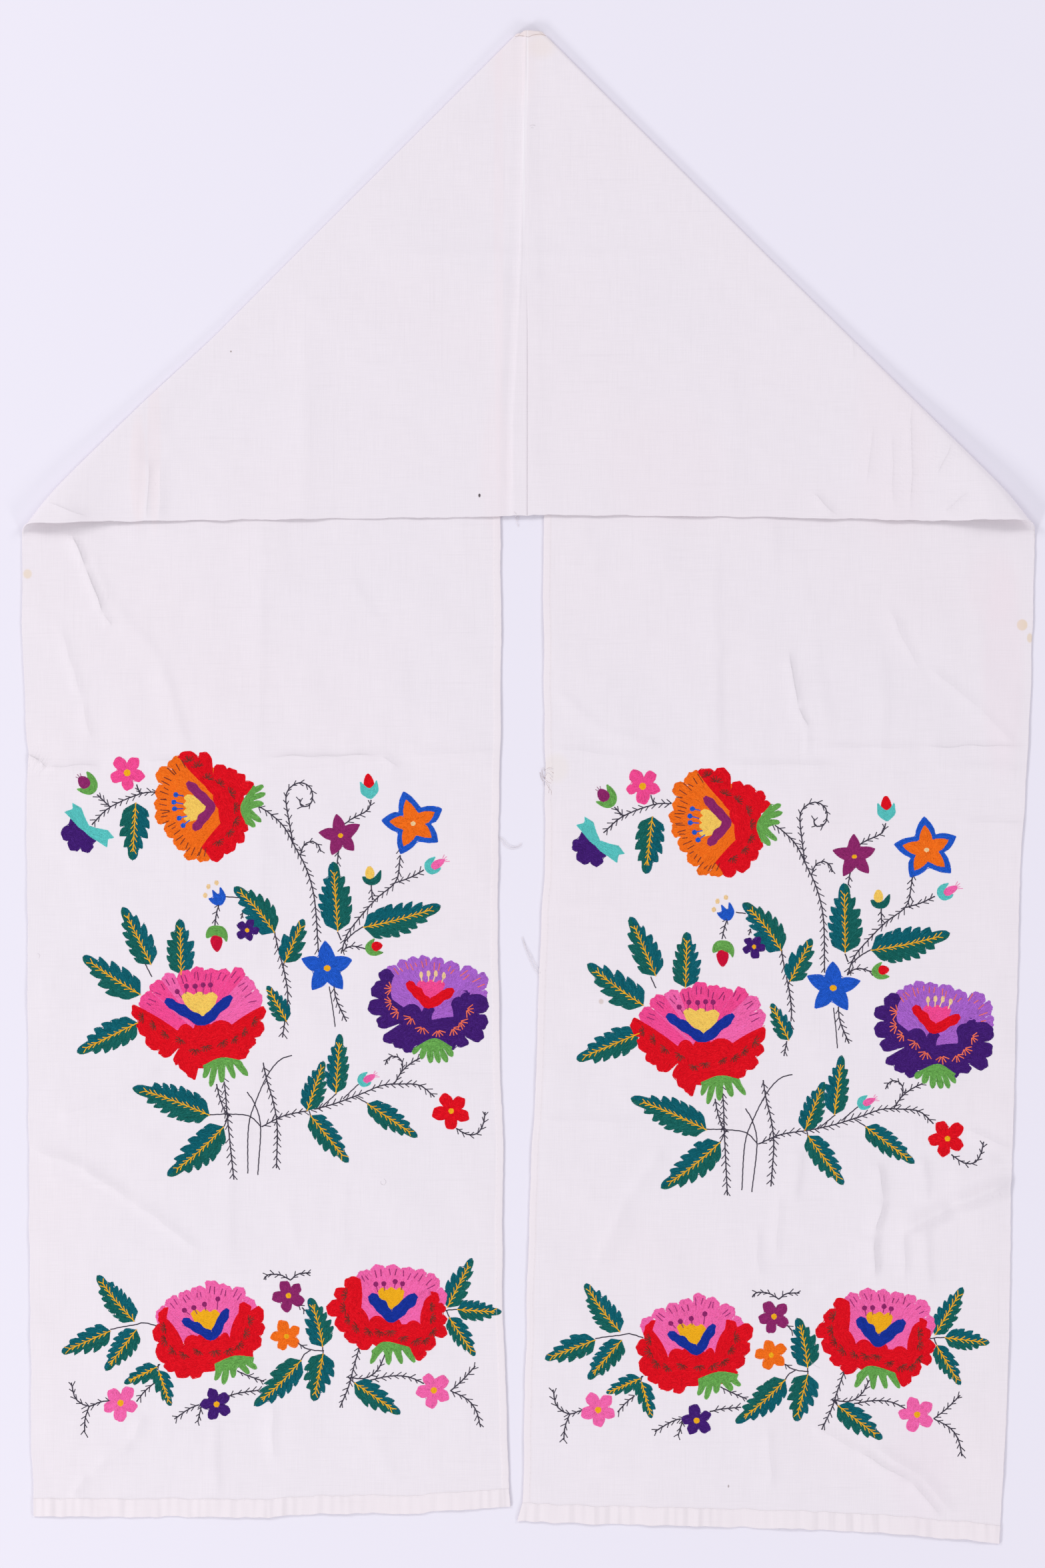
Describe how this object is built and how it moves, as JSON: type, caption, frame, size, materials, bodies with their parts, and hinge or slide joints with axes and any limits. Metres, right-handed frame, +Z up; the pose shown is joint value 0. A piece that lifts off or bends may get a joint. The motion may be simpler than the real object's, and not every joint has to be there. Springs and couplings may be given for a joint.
{
  "type": "rushnyk",
  "caption": "Long white cotton ritual towel with a centre seam, laid out folded into a gable with parallel legs, each leg embroidered with bright flowers, buds, leaves and stems.",
  "frame": {"origin": "on the surface the towel lies on, under the middle of its overall length and width", "axes": "+Y from the feet of the legs to the ridge of the gable, +X across the legs to the right, +Z up out of the right side of the legs"},
  "size_m": [0.8054, 1.2016, 0.0116],
  "materials": {
    "cotton": "matte",
    "thread": "satin"
  },
  "bodies": {
    "root": {"cloth_left": "cotton", "cloth_right": "cotton"}
  },
  "joints": []
}
